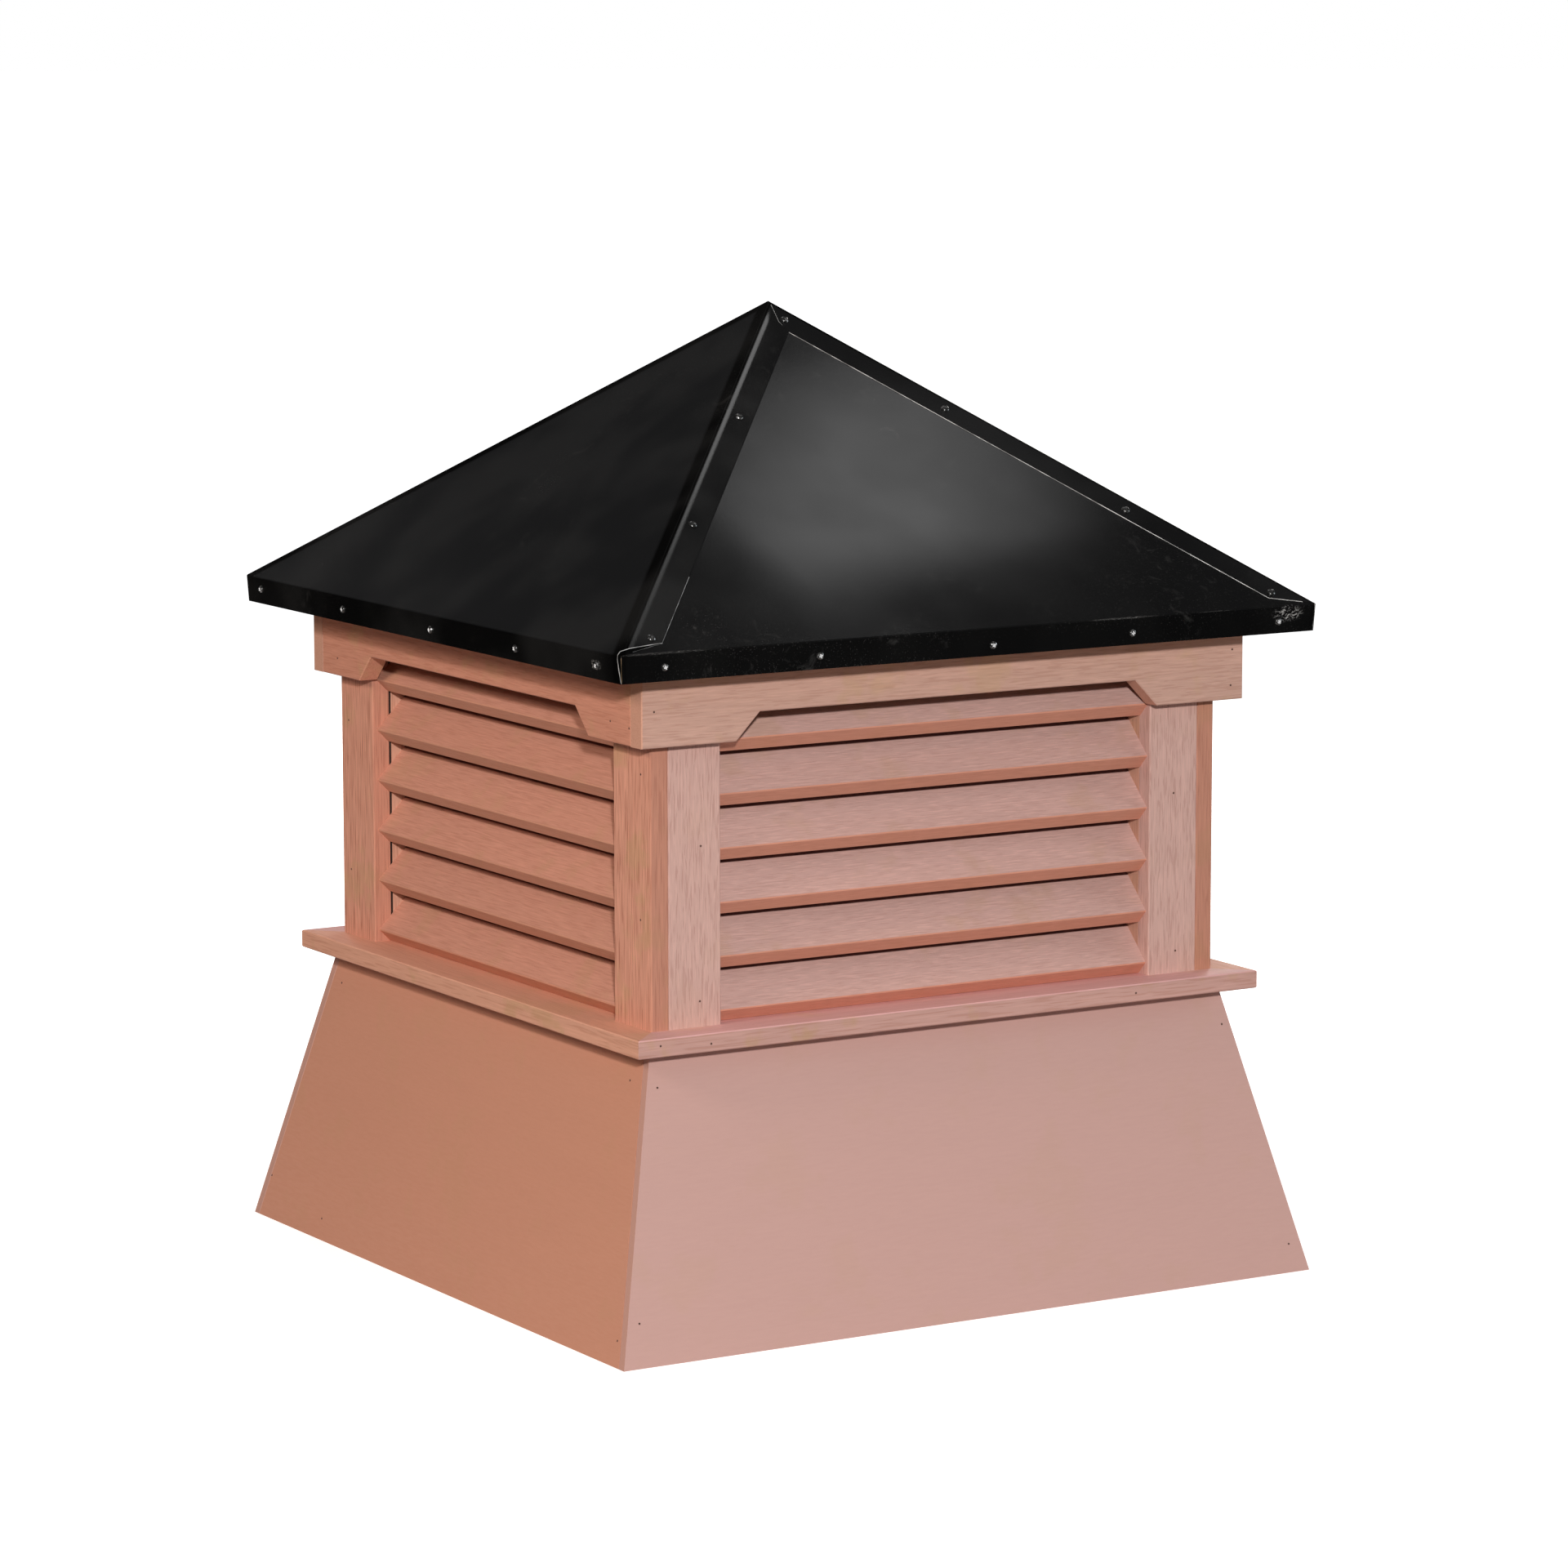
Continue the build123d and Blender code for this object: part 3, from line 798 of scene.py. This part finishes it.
def make_rivet_tree():
    """A domed head with a dished crown, and the broken pin standing in it."""
    settings = {"Head Width": "Float", "Head Height": "Float", "Lean Seed": "Int"}
    tree, took, gave = geometry_tree("blind_rivets", {**settings, "Finish": "Material", "Pin": "Material"})
    rounded = ((0.16, 0.99), (0.26, 0.92), (0.26, 0.84), (0.20, 0.74), (0.10, 0.62))
    dished = ((0.0, 0.66), (-0.4, 0.92))
    dome = turned_head(tree, took["Head Width"], took["Head Height"], 20, rounded + dished)
    smooth = lay(tree, "GeometryNodeSetShadeSmooth", {"Geometry": dome}).outputs[0]
    pin_width = figure(tree, "MULTIPLY", took["Head Width"], 0.24)
    pin = turned_head(tree, pin_width, took["Head Height"], 10, ((0.78, 0.7),))
    rivet = join(tree, made_of(tree, smooth, took["Finish"]), made_of(tree, pin, took["Pin"]))
    standing = stand_on_points(tree, took["Carrier"], rivet, took["Lean Seed"])
    is_pin = lay(tree, "GeometryNodeMaterialSelection", {"Material": took["Pin"]}).outputs[0]
    tree.links.new(made_of(tree, standing, took["Pin"], is_pin), gave["Made"])
    return tree


def fixing_black(name, gloss, bared):
    """Black fixings, rubbed through to the metal where the noise passes the level bared."""
    material, tree, place = new_material(name)
    dust = lay(tree, "ShaderNodeGroup", {"Place": place, "Specks": 0.4, "Smears": 0.5}, node_tree=yard_dust)
    dusty = blend_colours(tree, dust.outputs["Mask"], (0.012, 0.012, 0.012, 1), (0.2, 0.2, 0.19, 1))
    worn = noise(tree, place, 260.0, 2.0)
    bare = between(tree, worn, bared, bared + 0.08)
    close_material(
        tree,
        {
            "Base Color": blend_colours(tree, bare, dusty, (0.55, 0.55, 0.56, 1)),
            "Metallic": figure(tree, "MULTIPLY", bare, 0.9),
            "Roughness": between(tree, worn, 0.3, 0.7, gloss, gloss + 0.06),
            "IOR": 1.8,
        },
    )
    return material


def mottled_metal(name, fineness, dark, pale, roughness, metallic=0.0):
    """Small metal parts whose colour wanders between two tones, and its roughness with it."""
    material, tree, place = new_material(name)
    wander = noise(tree, place, fineness, 2.0)
    close_material(
        tree,
        {
            "Base Color": blend_colours(tree, wander, dark, pale),
            "Metallic": metallic,
            "Roughness": between(tree, wander, 0.3, 0.7, *roughness),
        },
    )
    return material


rivet_tree = make_rivet_tree()
rivet_black = fixing_black("rivet_black", 0.24, bared=0.60)
rivet_pin = mottled_metal(
    "rivet_pin_steel", 700.0, (0.10, 0.10, 0.10, 1), (0.34, 0.34, 0.34, 1), (0.3, 0.5), metallic=0.8
)

head_bedded = 0.00005    # how deep a head sits in the sheet under it

# across and out from the ridge point of each rivet on the front face
rivet_spots = [
    (-0.1340, 0.1597), (-0.2755, 0.2984), (-0.4078, 0.4372),
    (0.0045, 0.0281), (0.1395, 0.1631), (0.2881, 0.3150), (0.4057, 0.4373),
]
for side, turn in (("front", -1), ("back", 1)):
    way = Vector((0, turn * math.sin(roof_slope), math.cos(roof_slope)))
    heads = []
    for across, out in rivet_spots:
        level = apex_level - out * math.tan(roof_slope)
        heads.append(Vector((-turn * across, turn * out, level)) + way * (lap_thickness - head_bedded))
    rivets = carrier(f"lap_rivets_{side}", heads, facings=[way] * len(heads))
    grow(
        rivets, rivet_tree, Head_Width=0.0102, Head_Height=0.0026, Lean_Seed=7,
        Finish=rivet_black, Pin=rivet_pin,
    )
    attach(rivets, "root")

# ---------------------------------------------------------------------------------------------
# Screws along the eave flange.
# Black pan-head screws, five to a side, driven through the flange into the edge of the soffit
# boards. The driver has worn the black off their cross recesses, which glint.
# ---------------------------------------------------------------------------------------------


def make_screw_tree():
    """A pan head with a cross recess, its two slots cut to slightly different depths."""
    settings = {"Head Width": "Float", "Head Height": "Float", "Turn Seed": "Int"}
    surfaces = {"Finish": "Material", "Worn Metal": "Material"}
    tree, took, gave = geometry_tree("pan_head_screws", {**settings, **surfaces})
    pan_steps = ((0.36, 0.985), (0.22, 0.95), (0.20, 0.88), (0.14, 0.74), (0.08, 0.45))
    pan = turned_head(tree, took["Head Width"], took["Head Height"], 24, pan_steps)
    blade_size = {
        0: figure(tree, "MULTIPLY", took["Head Width"], 0.56),
        1: figure(tree, "MULTIPLY", took["Head Width"], 0.20),
        2: took["Head Height"],
    }
    blade = {"Size": lay(tree, "ShaderNodeCombineXYZ", blade_size).outputs[0]}
    recessed = lay(tree, "GeometryNodeMeshBoolean", operation="DIFFERENCE")
    for quarter, height_share in ((0.0, 1.20), (math.pi / 2, 1.26)):
        slot = lay(tree, "GeometryNodeMeshCube", blade).outputs[0]
        middle = figure(tree, "MULTIPLY", took["Head Height"], height_share)
        up = lay(tree, "ShaderNodeCombineXYZ", {2: middle}).outputs[0]
        move = {"Translation": up, "Rotation": (0, 0, quarter)}
        set_in = lay(tree, "GeometryNodeTransform", {"Geometry": slot, **move}).outputs[0]
        tree.links.new(made_of(tree, set_in, took["Worn Metal"]), recessed.inputs[1])
    tree.links.new(made_of(tree, pan, took["Finish"]), recessed.inputs[0])
    standing = stand_on_points(tree, took["Carrier"], recessed.outputs[0], took["Turn Seed"])
    is_worn = lay(tree, "GeometryNodeMaterialSelection", {"Material": took["Worn Metal"]}).outputs[0]
    tree.links.new(made_of(tree, standing, took["Worn Metal"], is_worn), gave["Made"])
    return tree


screw_tree = make_screw_tree()
screw_black = fixing_black("screw_black", 0.26, bared=0.57)
screw_zinc = mottled_metal(
    "screw_recess_zinc", 500.0, (0.55, 0.55, 0.56, 1), (0.92, 0.93, 0.95, 1), (0.2, 0.4)
)
flange_lean = math.atan(flange_inset / flange_drop)

# across the face, seen from outside, and up it
front_screws = [(-0.401, 0.7637), (-0.207, 0.7631), (0.017, 0.7601), (0.203, 0.7617), (0.404, 0.7620)]
left_screws = [(-0.4175, 0.766), (-0.201, 0.7635), (0.018, 0.7623), (0.2195, 0.7624), (0.403, 0.7634)]
for side, quarter, spots, seed in (
    ("front", 0, front_screws, 16),
    ("back", 2, front_screws, 15),
    ("left", 3, left_screws, 15),
    ("right", 1, left_screws, 16),
):
    swing = Matrix.Rotation(quarter * math.pi / 2, 3, "Z")
    heads = []
    for across, level in spots:
        out = eave_out - flange_inset * (eave_level - level) / flange_drop
        heads.append(swing @ Vector((across, -out + head_bedded, level)))
    way = swing @ Vector((0, -math.cos(flange_lean), -math.sin(flange_lean)))
    screws = carrier(f"flange_screws_{side}", heads, facings=[way] * len(heads))
    grow(
        screws, screw_tree, Head_Width=0.0085, Head_Height=0.0026, Turn_Seed=seed,
        Finish=screw_black, Worn_Metal=screw_zinc,
    )
    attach(screws, "root")

# ---------------------------------------------------------------------------------------------
# Brad heads.
# Fine steel brads driven nearly flush through the panels, boards and frieze, their small heads
# browned by the stain that went over them.
# ---------------------------------------------------------------------------------------------


def make_brad_tree():
    """Small round heads, one to a point."""
    settings = {"Head Width": "Float", "Head Height": "Float", "Turn Seed": "Int", "Finish": "Material"}
    tree, took, gave = geometry_tree("brad_heads", settings)
    brad = turned_head(tree, took["Head Width"], took["Head Height"], 10, ((0.7, 0.9), (0.3, 0.55)))
    standing = stand_on_points(tree, took["Carrier"], brad, took["Turn Seed"])
    tree.links.new(made_of(tree, standing, took["Finish"]), gave["Made"])
    return tree


brad_tree = make_brad_tree()
brad_brown = mottled_metal("stained_brad", 900.0, (0.05, 0.025, 0.02, 1), (0.16, 0.08, 0.06, 1), (0.5, 0.8))
base_out, base_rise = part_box("base_panel_front")[1].x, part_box("base_panel_front")[1].z
base_in = 0.3788    # from the middle to the panels' outer faces at the top
brad_clear = 0.00001    # how far the heads stand off the wood, so that no two faces coincide
panel_lean = math.atan((base_out - base_in) / base_rise)
sill_out, post_out, frieze_out = (
    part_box(board)[1].y for board in ("sill_board_back", "corner_face_board_back_left", "frieze_board_back")
)


def on_base(level):
    """How far out a base panel's face is at a level."""
    return base_out - (base_out - base_in) * level / base_rise


# how far out each row's face is, its lean, and the brads' places across and up, seen from outside
front_rows = [
    (on_base, panel_lean, [(-0.3744, 0.2920), (0.3778, 0.2873), (-0.4313, 0.0475), (0.4329, 0.0322)]),
    (post_out, 0, [(-0.3099, 0.5517), (-0.3117, 0.3795), (0.3182, 0.5607), (0.3225, 0.3765)]),
    (sill_out, 0, [(-0.3832, 0.3430), (-0.3196, 0.3392), (0.2418, 0.3406)]),
    (frieze_out, 0, [(-0.3814, 0.7072), (0.3816, 0.7254), (0.3798, 0.6840)]),
]
side_rows = [
    (on_base, panel_lean, [(0.4313, 0.0278), (-0.4321, 0.0487), (-0.2857, 0.0241)]),
    (on_base, panel_lean, [(0.3500, 0.2950), (-0.3520, 0.2930)]),
    (post_out, 0, [(0.3520, 0.6330), (0.3500, 0.4720), (-0.3540, 0.6100), (-0.3520, 0.4300)]),
    (frieze_out, 0, [(0.3279, 0.6905), (0.3694, 0.6873), (-0.3336, 0.6881)]),
]
for quarter, side in enumerate(("front", "right", "back", "left")):
    swing = Matrix.Rotation(quarter * math.pi / 2, 3, "Z")
    heads, ways = [], []
    for out, lean, spots in side_rows if side in ("left", "right") else front_rows:
        for across, level in spots:
            depth = out(level) if callable(out) else out
            heads.append(swing @ Vector((across, -depth - brad_clear, level)))
            ways.append(swing @ Vector((0, -math.cos(lean), math.sin(lean))))
    brads = carrier(f"brads_{side}", heads, facings=ways)
    grow(brads, brad_tree, Head_Width=0.0026, Head_Height=0.00035, Turn_Seed=3, Finish=brad_brown)
    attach(brads, "root")

# ---------------------------------------------------------------------------------------------
# Studio.
# A pale floor, a small key light beside the camera and a broad one above it, a warm light from the
# left, a cooler fill from the right, two softer ones behind, and softboxes overhead for the roof.
# ---------------------------------------------------------------------------------------------

floor_mesh = bpy.data.meshes.new("studio_floor")
floor_radius, floor_sides = 60, 64
sweep = bmesh.new()
rim = []
for n in range(floor_sides):
    angle = n * math.tau / floor_sides
    rim.append(sweep.verts.new((floor_radius * math.cos(angle), floor_radius * math.sin(angle), 0)))
sweep.faces.new(rim)
sweep.to_mesh(floor_mesh)
sweep.free()
floor = bpy.data.objects.new("studio_floor", floor_mesh)
bpy.context.scene.collection.objects.link(floor)

pale, tree, place = new_material("pale_floor")
mottle = noise(tree, place, 3.0, 3.0)
seen = lay(tree, "ShaderNodeLightPath").outputs["Is Camera Ray"]
away = lay(tree, "ShaderNodeVectorMath", {0: place}, operation="LENGTH").outputs["Value"]
close = between(tree, away, 1.2, 2.2, 1.0, 0.0)    # only the paper round the object throws light back at it
near = blend_colours(tree, mottle, (0.80, 0.80, 0.80, 1), (0.84, 0.84, 0.84, 1))
thrown = blend_colours(tree, close, (0.03, 0.03, 0.03, 1), (0.40, 0.38, 0.37, 1))
lit = between(tree, away, 0.6, 2.8, 0.60, 1.08)
close_material(
    tree,
    {
        "Base Color": blend_colours(tree, seen, thrown, near),
        "Roughness": 0.85,
        "Emission Color": blend_colours(tree, seen, figure(tree, "MULTIPLY", close, 0.16), lit),
        "Emission Strength": 1.0,
        "Specular IOR Level": 0.0,
    },
)
floor_mesh.materials.append(pale)

world = bpy.data.worlds.new("studio_air")
bpy.context.scene.world = world
world.use_nodes = True
tree = world.node_tree
tree.nodes.clear()
seen = lay(tree, "ShaderNodeLightPath").outputs["Is Camera Ray"]
air = blend_colours(tree, seen, (0.062, 0.062, 0.064, 1), (1, 1, 1, 1))
lay(tree, "ShaderNodeOutputWorld", {"Surface": lay(tree, "ShaderNodeBackground", {"Color": air}).outputs[0]})

middle = Vector((0, 0, 0.55))


def round_the_object(azimuth, elevation, distance):
    """A place that far from the middle of the object, by the angles that the views use."""
    a, e = math.radians(azimuth), math.radians(elevation)
    return Vector((math.sin(a) * math.cos(e), -math.cos(a) * math.cos(e), math.sin(e))) * distance + middle


def softbox(name, at, size, power, colour, aim=middle, height=None):
    """A round softbox that wide, or a rectangular one where a height is given."""
    lamp = bpy.data.lights.new(name, "AREA")
    lamp.shape = "RECTANGLE" if height else "DISK"
    lamp.size = size
    if height:
        lamp.size_y = height
    lamp.energy = power
    lamp.color = colour
    stand = bpy.data.objects.new(name, lamp)
    stand.location = at
    stand.rotation_euler = (Vector(aim) - Vector(at)).to_track_quat("-Z", "Y").to_euler()
    stand.visible_camera = False
    bpy.context.scene.collection.objects.link(stand)
    return stand


soft_white, warm_white, white = (1.0, 0.98, 0.95), (1.0, 0.96, 0.92), (1.0, 1.0, 1.0)
softbox("key_light", round_the_object(-28, 16, 8.0), 0.34, 430, soft_white)
softbox("top_front", round_the_object(-30, 42, 4.0), 2.2, 8, soft_white)
left_light = softbox("left_light", round_the_object(-80, 26, 4.5), 1.0, 66, (1.0, 0.87, 0.75))
left_light.visible_glossy = False
softbox("right_fill", round_the_object(68, 13, 4.5), 1.6, 38, (0.86, 0.95, 1.0))
softbox("back_fill", round_the_object(125, 16, 4.5), 1.8, 75, warm_white)
softbox("far_fill", round_the_object(172, 5, 5.0), 1.6, 60, warm_white)
softbox("hip_sheen", round_the_object(160, 66, 4.0), 1.2, 9, white)
softbox("roof_sheen", (1.004, 0.027, 2.530), 0.40, 0.68, white, aim=(0.0, -0.26, 0.925), height=0.47)
softbox("roof_glow", (0.944, -0.008, 2.487), 0.25, 0.075, white, aim=(-0.06, -0.300, 0.894))

# a long lens from the front left, looking down a little
camera_data = bpy.data.cameras.new("camera")
camera_data.lens = 130.5925
camera_data.sensor_width = 36.0
camera_data.clip_start, camera_data.clip_end = 0.1, 300.0
camera = bpy.data.objects.new("camera", camera_data)
camera.matrix_world = (
    Matrix.Translation((-3.39152, -5.67963, 1.535148))
    @ Matrix.Rotation(math.radians(-30.9943), 4, "Z")
    @ Matrix.Rotation(math.radians(90 - 8.4823), 4, "X")
    @ Matrix.Rotation(math.radians(-0.0882), 4, "Z")
)
bpy.context.scene.collection.objects.link(camera)
bpy.context.scene.camera = camera
bpy.context.scene.view_settings.view_transform = "Standard"
